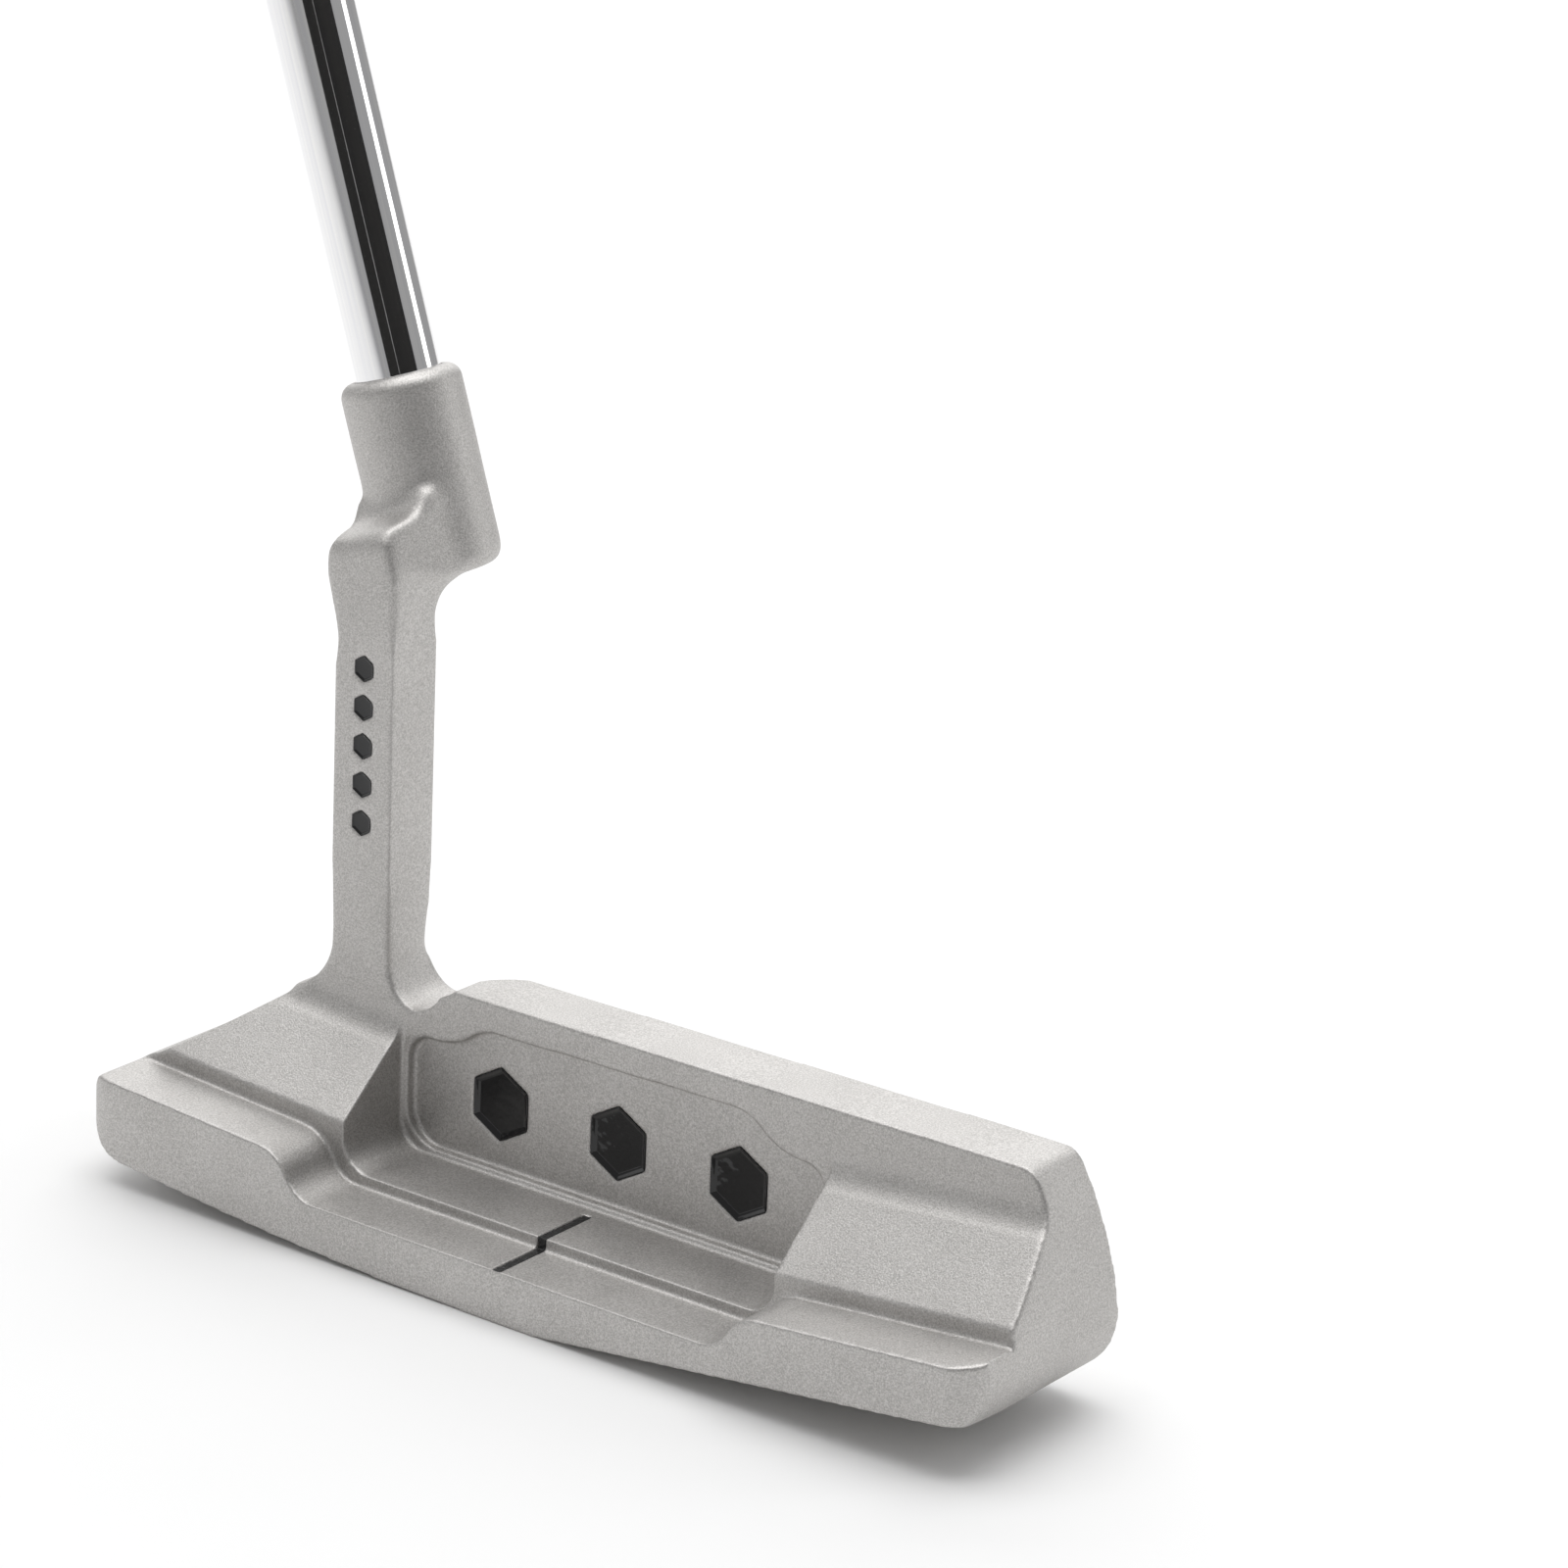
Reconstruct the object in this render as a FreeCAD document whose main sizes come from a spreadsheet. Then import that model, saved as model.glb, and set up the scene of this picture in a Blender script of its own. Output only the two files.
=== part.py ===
import FreeCAD, Part
import math
import os

import Sketcher

# Heel-and-toe weighted blade putter, in the address pose.
# Millimetres.  +X points to the toe, +Y to the target, +Z up.  The sole's flat land is on z = 0.
# Everything on the shaft is drawn upright on its own axis, then leaned over to the lie angle.

doc = FreeCAD.newDocument("putter")
sheet = doc.addObject("Spreadsheet::Sheet", "Sizes")

SIZES = {
    # head: outline seen from the face
    "land_heel": (-6.0, "heel end of the flat land under the sole"),
    "land_toe": (4.0, "toe end of the flat land under the sole"),
    "sole_radius_toe": (420.0, "camber of the sole towards the toe"),
    "trail_rise": (0.118, "rise of the sole's trailing edge per mm towards the toe"),
    "trail_slant": (0.17, "fall of the trailing relief per mm towards the face"),
    "toe_round": (8.0, "radius between the sole and the toe's end"),
    "sole_radius_heel": (450.0, "camber of the sole towards the heel"),
    "toe_reach": (59.5, "furthest point of the toe"),
    "heel_reach": (60.8, "furthest point of the heel"),
    "topline_rise": (27.9, "height of the topline at the toe"),
    "topline_rise_heel": (26.9, "height of the topline beside the neck"),
    "heel_top_rise": (12.8, "height of the heel's top at its end"),
    "heel_root_rise": (22.2, "height of the heel's top below the neck"),
    # head: section from face to back
    "topline_width": (8.2, "width of the flat topline"),
    "wall_back": (-0.9, "back wall of the blade"),
    "loft_run": (1.7, "how far the face leans back between sole and topline"),
    "flange_back": (-18.3, "rear face of the flange"),
    "riser_back": (-10.5, "riser between the inner and the outer ledge"),
    "outer_ledge": (6.0, "height of the outer ledge in the middle"),
    "inner_ledge": (7.3, "height of the inner ledge in the middle"),
    # head: bumpers at both ends of the cavity
    "cavity_half": (29.2, "middle of the cavity to each bumper's flank"),
    "flank_radius": (3.6, "fillet between flank and inner ledge"),
    "bumper_ledge_heel": (10.7, "outer ledge height at the heel bumper's flank"),
    "bumper_ledge_toe": (10.3, "outer ledge height at the toe bumper's flank"),
    "bumper_step": (1.95, "step up from the outer ledge to a bumper's slope"),
    "slope_top": (19.2, "height where a bumper's slope turns into the wall"),
    "slope_top_back": (-3.0, "place where a bumper's slope turns into the wall"),
    "wall_fillet": (4.2, "radius between a bumper's slope and the wall"),
    "sweep_heel": (0.06, "rise of the heel bumper per mm towards the heel"),
    "sweep_toe": (0.09, "rise of the toe bumper per mm towards the toe"),
    # pocket and painted recesses
    "pocket_depth": (1.2, "depth of the pocket in the back wall"),
    "pocket_half": (28.3, "middle of the pocket to each end"),
    "pocket_floor": (7.9, "lowest edge of the pocket"),
    "pocket_top": (24.2, "highest edge of the pocket"),
    "pocket_shoulder": (20.6, "height of the pocket's lower shoulders"),
    "hex_flats": (7.4, "hexagon across flats"),
    "hex_pitch": (16.2, "distance between the hexagons"),
    "hex_height": (15.1, "height of the hexagons' centres"),
    "hex_depth": (1.0, "depth of the hexagon recesses"),
    "paint_gap": (0.1, "how far the paint stays below its recess"),
    "line_place": (-1.4, "place of the sighting line along the head"),
    "line_width": (1.1, "width of the sighting line"),
    "line_depth": (0.5, "depth of the sighting line's groove"),
    "line_start": (-2.6, "front end of the sighting line"),
    # neck
    "post_middle": (-35.7, "middle of the post along the head"),
    "post_width": (8.1, "width of the post along the head"),
    "post_back": (-0.9, "back face of the post"),
    "post_depth": (7.4, "depth of the post"),
    "post_flare": (7.5, "radius at the post's heel side root"),
    "notch_radius": (4.4, "radius of the notch between post and topline"),
    "arm_height": (10.0, "height of the arm along the shaft's axis"),
    "arm_back_width": (9.0, "width of the arm at its back end"),
    "arm_fillet": (4.0, "radius below the arm"),
    "arm_rise": (3.6, "radius between the arm's top and the hosel"),
    "mark_flats": (2.6, "small hexagon marks across flats"),
    "mark_pitch": (4.4, "distance between the small marks"),
    "mark_depth": (0.5, "depth of the small marks"),
    "mark_height": (43.0, "height of the lowest small mark"),
    # hosel and shaft
    "lean": (19.0, "shaft's lean from upright, ninety degrees less the lie"),
    "axis_foot": (-11.6, "where the shaft's axis meets the ground"),
    "axis_front": (12.0, "shaft's axis in front of the hexagons"),
    "hosel_radius": (6.7, "outside radius of the hosel"),
    "hosel_round": (1.7, "radius of the hosel's rim and lower edge"),
    "hosel_bottom": (72.6, "underside of the hosel, along the axis"),
    "hosel_rim": (94.9, "rim of the hosel, along the axis"),
    "bore_depth": (19.0, "depth of the hosel's bore"),
    "tip_radius": (4.7, "shaft's tip radius, 0.370 inch tip"),
    "glue_gap": (0.15, "glue between bore and shaft"),
    "taper_start": (200.0, "end of the parallel tip, along the axis"),
    "butt_radius": (7.4, "shaft's radius at the butt"),
    "tube_wall": (0.6, "shaft's wall"),
    "club_length": (863.6, "club length along the axis, 34 inches"),
    # grip
    "grip_length": (267.0, "grip from mouth to the top of its cap"),
    "grip_radius": (16.1, "grip's round radius"),
    "flat_cut": (1.2, "how far the flat front lies below the round"),
    "grip_soften": (7.0, "radius beside the flat front"),
    "skin_wall": (1.7, "thickness of the skin"),
    "tape_wall": (0.2, "thickness of the double-sided tape"),
    "cap_height": (9.9, "height of the end cap"),
    "cap_round": (5.2, "radius of the cap's shoulder"),
    "vent_radius": (1.4, "vent hole in the cap"),
    "ring_height": (6.2, "height of the ring at the grip's mouth"),
    "ring_radius": (17.1, "outside radius of the ring"),
    "ring_round": (2.4, "radius of the ring's edges"),
    # coloured bands of the grip, from the club's top end downwards
    "stripe_inner": (7.3, "flat front's middle to a stripe"),
    "stripe_outer": (12.1, "flat front's middle to a stripe's far edge"),
    "arm_top_in": (107.0, "upper arm meets the side, its upper edge"),
    "arm_top_out": (115.0, "upper arm meets the side, its lower edge"),
    "stripe_top_in": (122.0, "top of a stripe, inner edge"),
    "stripe_top_out": (124.5, "top of a stripe, outer edge"),
    "stripe_end_out": (224.5, "bottom of a stripe, outer edge"),
    "stripe_end_in": (227.9, "bottom of a stripe, inner edge"),
    "arm_end_out": (234.0, "lower arm meets the side, its upper edge"),
    "arm_end_in": (240.2, "lower arm meets the side, its lower edge"),
    "panel_top": (20.0, "top of the dark back panel"),
    "panel_end": (252.0, "bottom of the dark back panel"),
    "panel_wide_top": (129.0, "top of the panel's wide middle"),
    "panel_wide_end": (215.5, "bottom of the panel's wide middle"),
    "panel_widen": (5.4, "how far the wide middle comes forward"),
}

for row, (alias, (value, note)) in enumerate(SIZES.items(), start=1):
    sheet.set("A%d" % row, alias)
    sheet.set("B%d" % row, str(value))
    sheet.set("C%d" % row, note)
    sheet.setAlias("B%d" % row, alias)
doc.recompute()

PLANES = {
    "front": FreeCAD.Rotation(FreeCAD.Vector(1, 0, 0), 90),    # u = X, v = Z, normal -Y
    "plan": FreeCAD.Rotation(),                                # u = X, v = Y, normal +Z
    "side": FreeCAD.Rotation(FreeCAD.Vector(1, 1, 1), 120),    # u = Y, v = Z, normal +X
}


def bind(thing, **formulas):
    for name, formula in formulas.items():
        thing.setExpression(name.replace("__", "."), formula)
    return thing


def arc_between(start, end, radius, side):
    """Minor arc from start to end; side is +1 when the centre lies left of the way there."""
    half = (end - start) * 0.5
    reach = math.sqrt(max(radius ** 2 - half.Length ** 2, 0.0))
    left = FreeCAD.Vector(-half.y, half.x, 0).normalize()
    centre = start + half + left * (side * reach)
    first, last = (start, end) if side > 0 else (end, start)
    angles = [math.atan2(p.y - centre.y, p.x - centre.x) for p in (first, last)]
    circle = Part.Circle(centre, FreeCAD.Vector(0, 0, 1), radius)
    return Part.ArcOfCircle(circle, angles[0], angles[1])


def outline(label, plane, corners):
    """Closed sketch.  A corner is (u, v) or (u, v, radius, side) when an arc leads on from it."""
    sketch = doc.addObject("Sketcher::SketchObject", label)
    sketch.Placement = FreeCAD.Placement(FreeCAD.Vector(), PLANES[plane])
    spots = [FreeCAD.Vector(float(sheet.evalExpression(c[0])), float(sheet.evalExpression(c[1])), 0)
             for c in corners]
    ends = []
    for index, corner in enumerate(corners):
        start, end = spots[index], spots[(index + 1) % len(corners)]
        if len(corner) == 2:
            edge = sketch.addGeometry(Part.LineSegment(start, end))
            ends.append((edge, 1, 2))
        else:
            radius = float(sheet.evalExpression(corner[2]))
            edge = sketch.addGeometry(arc_between(start, end, radius, corner[3]))
            ends.append((edge, 1, 2) if corner[3] > 0 else (edge, 2, 1))
    for index, corner in enumerate(corners):
        edge, first, last = ends[index]
        following = ends[(index + 1) % len(ends)]
        sketch.addConstraint(Sketcher.Constraint("Coincident", edge, last, following[0], following[1]))
        for axis, formula, value in (("X", corner[0], spots[index].x), ("Y", corner[1], spots[index].y)):
            rule = sketch.addConstraint(Sketcher.Constraint("Distance" + axis, edge, first, value))
            sketch.setExpression("Constraints[%d]" % rule, sized(formula))
        if len(corner) == 4:
            radius = float(sheet.evalExpression(corner[2]))
            rule = sketch.addConstraint(Sketcher.Constraint("Radius", edge, radius))
            sketch.setExpression("Constraints[%d]" % rule, sized(corner[2]))
    return sketch


def sized(formula):
    """Put the sheet's name before each alias of a formula."""
    word, text = "", ""
    for letter in formula + " ":
        if letter.isalnum() or letter == "_":
            word += letter
            continue
        text += ("Sizes." + word) if word in SIZES else word
        text += letter
        word = ""
    return text.strip()


def extrude(label, sketch, direction, forward, backward="0"):
    solid = doc.addObject("Part::Extrusion", label)
    solid.Base = sketch
    solid.DirMode = "Custom"
    solid.Dir = FreeCAD.Vector(*direction)
    solid.Solid = True
    return bind(solid, LengthFwd=sized(forward), LengthRev=sized(backward))


def boolean(kind, label, first, *others):
    """Part::Cut takes one tool, so several tools are fused first."""
    tool = others[0]
    if len(others) > 1:
        tool = doc.addObject("Part::MultiFuse", label + "_tools")
        tool.Shapes = list(others)
    result = doc.addObject("Part::" + kind, label)
    result.Base, result.Tool = first, tool
    return result


def fuse(label, *shapes):
    result = doc.addObject("Part::MultiFuse", label)
    result.Shapes = list(shapes)
    return result


def cylinder(label, radius, bottom, height):
    solid = doc.addObject("Part::Cylinder", label)
    return bind(solid, Radius=sized(radius), Height=sized(height), Placement__Base__z=sized(bottom))


def cone(label, radius_low, radius_high, bottom, height):
    solid = doc.addObject("Part::Cone", label)
    return bind(solid, Radius1=sized(radius_low), Radius2=sized(radius_high), Height=sized(height),
                Placement__Base__z=sized(bottom))


def hexagon(label, flats, depth, middle):
    """Hexagonal prism along +Y from middle, corners up and down."""
    solid = doc.addObject("Part::Prism", label)
    solid.Polygon = 6
    upright = FreeCAD.Rotation(FreeCAD.Vector(1, 0, 0), -90)
    turn = FreeCAD.Rotation(FreeCAD.Vector(0, 0, 1), 30)
    solid.Placement = FreeCAD.Placement(FreeCAD.Vector(), upright.multiply(turn))
    return bind(solid, Circumradius=sized("(%s) / sqrt(3)" % flats), Height=sized(depth),
                Placement__Base__x=sized(middle[0]), Placement__Base__y=sized(middle[1]),
                Placement__Base__z=sized(middle[2]))


def leaned(solid, along="0"):
    """Lean an upright solid over to the shaft's axis, its own foot moved along that axis."""
    foot = "vector(axis_foot - (%s) * sin(lean); axis_front; (%s) * cos(lean))" % (along, along)
    return bind(solid, Placement=sized("placement(%s; rotation(vector(0; 1; 0); -lean))" % foot))


def rounded(label, solid, radius, wanted):
    """Fillet every edge of solid for which wanted(edge) is true."""
    doc.recompute()
    size = float(sheet.evalExpression(radius))
    result = doc.addObject("Part::Fillet", label)
    result.Base = solid
    result.Edges = [(index, size, size) for index, edge in enumerate(solid.Shape.Edges, start=1)
                    if wanted(edge)]
    return result


# ---------------------------------------------------------------- head

def head_blank():
    """The head's outer form: outline from the front, plan and section, all three at once."""
    toe_sole = "(toe_reach - toe_round - land_toe) ^ 2 / (2 * sole_radius_toe)"
    heel_sole = "0.3 + (heel_reach - 7.2 + land_heel) ^ 2 / (2 * sole_radius_heel)"
    front = outline("front_outline", "front", [
        ("land_heel", "0"),
        ("land_toe", "0", "sole_radius_toe", 1),
        ("toe_reach - toe_round", toe_sole, "toe_round", 1),
        ("toe_reach", toe_sole + " + 1.1 * toe_round", "30", 1),
        ("toe_reach - 1.2", "topline_rise - 10", "40", 1),
        ("toe_reach - 4.6", "topline_rise - 1.6", "3", 1),
        ("toe_reach - 6.8", "topline_rise"),
        ("post_middle + post_width / 2", "topline_rise_heel"),
        ("post_middle - post_width / 2 - 4", "heel_root_rise", "90", -1),
        ("4.6 - heel_reach", "heel_top_rise + 0.7", "6.6", 1),
        ("0.1 - heel_reach", "heel_top_rise - 4.2", "7.4", 1),
        ("7.2 - heel_reach", heel_sole, "sole_radius_heel", 1),
    ])
    plan = outline("plan_outline", "plan", [
        ("4.4 - heel_reach", "flange_back"),
        ("toe_reach - 3", "flange_back", "7", 1),
        ("toe_reach + 0.5", "riser_back - 2"),
        ("toe_reach + 0.5", "12"),
        ("-1 - heel_reach", "12"),
        ("-1 - heel_reach", "riser_back + 2", "60", 1),
        ("0.1 - heel_reach", "flange_back + 3.9", "4.4", 1),
    ])
    section = outline("section_outline", "side", [
        ("flange_back", "-1"),
        ("wall_back + topline_width + loft_run", "-1"),
        ("wall_back + topline_width", "topline_rise"),
        ("wall_back + topline_width", "topline_rise + 3"),
        ("flange_back", "topline_rise + 3"),
    ])
    tall = extrude("front_prism", front, (0, 1, 0), "15", "20")
    wide = extrude("plan_prism", plan, (0, 0, 1), "40", "5")
    long = extrude("section_prism", section, (1, 0, 0), "80", "80")
    pair = boolean("Common", "blank_pair", tall, wide)
    blank = boolean("Common", "blank", pair, long)
    return boolean("Cut", "relieved_blank", blank, trailing_relief())


def trailing_relief():
    """Space below the sole's trailing edge, opening towards the toe."""
    profile = outline("trailing_relief_outline", "side", [
        ("flange_back - 4", "4 * trail_slant"),
        ("flange_back - 4", "-12"),
        ("14", "-12"),
        ("14", "(flange_back - 14) * trail_slant"),
    ])
    cut = extrude("trailing_relief", profile, (1, 0, 0.1), "toe_reach + 20")
    return bind(cut, Placement__Base__x=sized("land_toe"), Dir__z=sized("trail_rise"))


def bumper_cut(end, way, ledge, sweep):
    """Space above one bumper: its outer ledge, the small step, the slope and the wall."""
    profile = outline(end + "_bumper_profile", "side", [
        ("flange_back - 5", ledge),
        ("riser_back", ledge),
        ("riser_back", ledge + " + bumper_step"),
        ("slope_top_back", "slope_top", "wall_fillet", 1),
        ("wall_back", "slope_top + 3.6"),
        ("wall_back", "60"),
        ("flange_back - 5", "60"),
    ])
    slant = float(sheet.evalExpression(sweep))
    cut = extrude(end + "_bumper_cut", profile, (way, 0, slant), "40")
    return bind(cut, Placement__Base__x=sized("%d * cavity_half" % way),
                Dir__z=sized(sweep))


def ledge_cuts():
    """Space above the inner ledge between the flanks, and above the outer ledge."""
    inner = outline("inner_ledge_outline", "front", [
        ("-cavity_half", "60"),
        ("-cavity_half", "inner_ledge + flank_radius", "flank_radius", 1),
        ("flank_radius - cavity_half", "inner_ledge"),
        ("cavity_half - flank_radius", "inner_ledge", "flank_radius", 1),
        ("cavity_half", "inner_ledge + flank_radius"),
        ("cavity_half", "60"),
    ])
    high_heel = "bumper_ledge_heel + 5.5 * sweep_heel"
    high_toe = "bumper_ledge_toe + 3.9 * sweep_toe"
    outer = outline("outer_ledge_outline", "front", [
        ("-cavity_half - 5.5", "60"),
        ("-cavity_half - 5.5", high_heel, "4.6", -1),
        ("-cavity_half - 1.6", "(outer_ledge + %s) / 2" % high_heel, "4.6", 1),
        ("2 - cavity_half", "outer_ledge"),
        ("cavity_half - 3.6", "outer_ledge", "4.6", 1),
        ("cavity_half", "(outer_ledge + %s) / 2" % high_toe, "4.6", -1),
        ("cavity_half + 3.9", high_toe),
        ("cavity_half + 3.9", "60"),
    ])
    upper = extrude("inner_ledge_cut", inner, (0, -1, 0), "30", "0")
    lower = extrude("outer_ledge_cut", outer, (0, -1, 0), "20", "0")
    bind(upper, Placement__Base__y=sized("wall_back"))
    bind(lower, Placement__Base__y=sized("riser_back"))
    return [upper, lower]


def pocket_cut():
    """Shallow pocket in the wall, with a lower shoulder at each upper corner."""
    shape = outline("pocket_outline", "front", [
        ("4 - pocket_half", "pocket_floor"),
        ("pocket_half - 4", "pocket_floor", "4.2", 1),
        ("pocket_half", "pocket_floor + 4"),
        ("pocket_half", "pocket_shoulder - 2.6", "3", 1),
        ("pocket_half - 2.8", "pocket_shoulder", "9", -1),
        ("pocket_half - 8.2", "(pocket_shoulder + pocket_top) / 2", "6", 1),
        ("pocket_half - 12", "pocket_top"),
        ("12 - pocket_half", "pocket_top - 0.6", "6", 1),
        ("8.2 - pocket_half", "(pocket_shoulder + pocket_top) / 2 - 0.4", "9", -1),
        ("2.8 - pocket_half", "pocket_shoulder", "3", 1),
        ("-pocket_half", "pocket_shoulder - 2.6"),
        ("-pocket_half", "pocket_floor + 4", "4.2", 1),
    ])
    cut = extrude("pocket_cut", shape, (0, 1, 0), "pocket_depth", "1")
    return bind(cut, Placement__Base__y=sized("wall_back"))


def sight_line(label, above, depth, width):
    """Bar that runs down both ledges and the riser between them."""
    shape = outline(label + "_outline", "side", [
        ("line_start", "inner_ledge - (%s)" % depth),
        ("line_start", "inner_ledge + (%s)" % above),
        ("riser_back - (%s)" % above, "inner_ledge + (%s)" % above),
        ("riser_back - (%s)" % above, "outer_ledge + (%s)" % above),
        ("flange_back + 0.2", "outer_ledge + (%s)" % above),
        ("flange_back + 0.2", "outer_ledge - (%s)" % depth),
        ("riser_back + (%s)" % depth, "outer_ledge - (%s)" % depth),
        ("riser_back + (%s)" % depth, "inner_ledge - (%s)" % depth),
    ])
    bar = extrude(label, shape, (1, 0, 0), "(%s) / 2" % width, "(%s) / 2" % width)
    return bind(bar, Placement__Base__x=sized("line_place"))


HEX_PLACES = {"heel": "-hex_pitch", "centre": "0", "toe": "hex_pitch"}
POCKET_FLOOR = "wall_back + pocket_depth"


def hex_prism(end, label, depth, sunk):
    return hexagon(label, "hex_flats", depth, (HEX_PLACES[end], POCKET_FLOOR + " + " + sunk, "hex_height"))


def mark_prism(label, count, depth, sunk):
    height = "mark_height + %d * mark_pitch" % count
    return hexagon(label, "mark_flats", depth, ("post_middle", "post_back + " + sunk, height))


def neck():
    """Post with its flared root, and the arm that carries the hosel in front of the post."""
    left, right = "post_middle - post_width / 2", "post_middle + post_width / 2"
    top = "hosel_bottom * cos(lean) + 3.4"
    post_front = outline("post_outline", "front", [
        (left + " - 0.7 * post_flare", "heel_root_rise - 6"),
        (right + " + notch_radius", "topline_rise_heel - 6"),
        (right + " + notch_radius", "topline_rise_heel - 3.6"),
        (right + " + 0.9 * notch_radius", "topline_rise_heel - 3.6", "notch_radius", -1),
        (right, "topline_rise_heel + 0.6"),
        (right, top + " - 1"),
        (right + " - 1.4", top + " + 3.4"),
        (left + " + 0.2", top + " + 2.1", "2.4", 1),
        (left + " - 2", top + " - 0.4"),
        (left + " - 1.9", top + " - 2"),
        (left, top + " - 9"),
        (left, "heel_root_rise + post_flare - 0.5", "post_flare", -1),
        (left + " - 0.7 * post_flare", "heel_root_rise - 0.3"),
    ])
    post = extrude("post", post_front, (0, 1, 0), "post_depth")
    bind(post, Placement__Base__y=sized("post_back"))
    gusset_side = outline("gusset_outline", "side", [
        ("post_back + post_depth - 1", top + " + 1"),
        ("post_back + post_depth - 1", top + " - 3 - arm_fillet"),
        ("post_back + post_depth", top + " - 3 - arm_fillet", "arm_fillet", -1),
        ("post_back + post_depth + arm_fillet", top + " - 3"),
        ("post_back + post_depth + arm_fillet", top + " + 1"),
    ])
    gusset = extrude("gusset", gusset_side, (1, 0, 0), "post_width / 2", "post_width / 2")
    bind(gusset, Placement__Base__x=sized("post_middle"))
    arm_plan = outline("arm_outline", "plan", [
        ("2 - arm_back_width / 2", "post_back - axis_front"),
        ("arm_back_width / 2 - 2", "post_back - axis_front", "2", 1),
        ("arm_back_width / 2", "post_back - axis_front + 2"),
        ("hosel_radius - 0.4", "0"),
        ("0.4 - hosel_radius", "0"),
        ("-arm_back_width / 2", "post_back - axis_front + 2", "2", 1),
    ])
    arm_side = outline("arm_side_outline", "side", [
        ("post_back - axis_front", "0.35 * arm_height"),
        ("-0.5 * axis_front", "0"),
        ("hosel_radius", "0"),
        ("hosel_radius", "arm_height - 0.2"),
        ("0.7 - hosel_radius", "arm_height - 0.2", "arm_rise", -1),
        ("post_back - axis_front + 3.4", "arm_height - 2.6"),
        ("post_back - axis_front + 2.4", "arm_height - 2.8", "2.4", 1),
        ("post_back - axis_front", "arm_height - 5"),
    ])
    arm_upright = boolean("Common", "arm_upright",
                          extrude("arm_plan_prism", arm_plan, (0, 0, 1), "arm_height"),
                          extrude("arm_side_prism", arm_side, (1, 0, 0), "10", "10"))
    bind(arm_upright, Placement__Base__z=sized("hosel_bottom"))
    tube_upright = cylinder("hosel_upright", "hosel_radius", "hosel_bottom", "hosel_rim - hosel_bottom")
    hosel = rounded("hosel_soft", tube_upright, "hosel_round",
                    lambda edge: edge.Curve.TypeId == "Part::GeomCircle")
    arm = leaned(fuse("arm_and_hosel", arm_upright, hosel))
    return [post, gusset, arm]


def bore():
    hole = cylinder("hosel_bore", "tip_radius + glue_gap", "0", "bore_depth + 5")
    return leaned(hole, "hosel_rim - bore_depth")


def putter_head():
    blade = boolean("Cut", "blade", head_blank(),
                    bumper_cut("heel", -1, "bumper_ledge_heel", "sweep_heel"),
                    bumper_cut("toe", 1, "bumper_ledge_toe", "sweep_toe"),
                    *ledge_cuts())
    notch = extrude("notch_cut", outline("notch_outline", "front", [
        ("post_middle + post_width / 2 + 0.02", "topline_rise_heel + 0.6"),
        ("post_middle + post_width / 2 + 0.02", "topline_rise_heel + 6"),
        ("post_middle + post_width / 2 + 2.2 * notch_radius", "topline_rise_heel + 6"),
        ("post_middle + post_width / 2 + 2.2 * notch_radius", "topline_rise_heel + 0.2", "6", -1),
        ("post_middle + post_width / 2 + 1.7 * notch_radius", "topline_rise_heel - 1.2",
         "notch_radius + 0.2", -1),
        ("post_middle + post_width / 2 + 0.9 * notch_radius", "topline_rise_heel - 3.6",
         "notch_radius + 0.2", -1),
    ]), (0, 1, 0), "15", "15")
    corner = extrude("corner_cut", outline("corner_outline", "plan", [
        ("post_middle + post_width / 2 + notch_radius", "wall_back + 1"),
        ("post_middle + post_width / 2 + 2 * notch_radius", "wall_back + 1", "8", -1),
        ("post_middle + post_width / 2 + 3.2 * notch_radius", "wall_back + topline_width + 0.3"),
        ("post_middle + post_width / 2 + 3.2 * notch_radius", "14"),
        ("post_middle + post_width / 2 + notch_radius", "14"),
    ]), (0, 0, 1), "20")
    bind(corner, Placement__Base__z=sized("topline_rise_heel - 3.6"))
    body = fuse("head_body", boolean("Cut", "notched_blade", blade, notch, corner), *neck())
    holes = [pocket_cut(), bore(), sight_line("line_groove", "2", "line_depth", "line_width")]
    holes += [hex_prism(end, "hex_hole_" + end, "hex_depth + 1", "-1") for end in HEX_PLACES]
    holes += [mark_prism("mark_hole_%d" % n, n, "mark_depth + 1", "-1") for n in range(5)]
    return boolean("Cut", "putter_head", body, *holes)


# ---------------------------------------------------------------- shaft and grip

SHAFT_LOW = "hosel_rim - bore_depth"
SHAFT_HIGH = "club_length - cap_height + 4"
CONE_LENGTH = "(%s) - taper_start" % SHAFT_HIGH
GRIP_LOW = "club_length - grip_length"


def tapered(label, extra, low="taper_start", high=SHAFT_HIGH):
    """Cone along the shaft's taper, its wall moved outwards by extra, between two places."""
    rate = "(butt_radius - tip_radius) / (%s)" % CONE_LENGTH
    at_low = "tip_radius + (%s) + ((%s) - taper_start) * %s" % (extra, low, rate)
    at_high = "tip_radius + (%s) + ((%s) - taper_start) * %s" % (extra, high, rate)
    return cone(label, at_low, at_high, low, "(%s) - (%s)" % (high, low))


def shaft():
    outside = fuse("shaft_outside",
                   cylinder("tip_outside", "tip_radius", SHAFT_LOW, "taper_start - (%s)" % SHAFT_LOW),
                   tapered("taper_outside", "0"))
    inside = fuse("shaft_inside",
                  cylinder("tip_inside", "tip_radius - tube_wall", "(%s) - 1" % SHAFT_LOW,
                           "taper_start + 1 - (%s)" % SHAFT_LOW),
                  tapered("taper_inside", "-tube_wall"),
                  cylinder("butt_inside", "butt_radius - tube_wall", SHAFT_HIGH, "1"))
    return leaned(boolean("Cut", "shaft", outside, inside))


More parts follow.
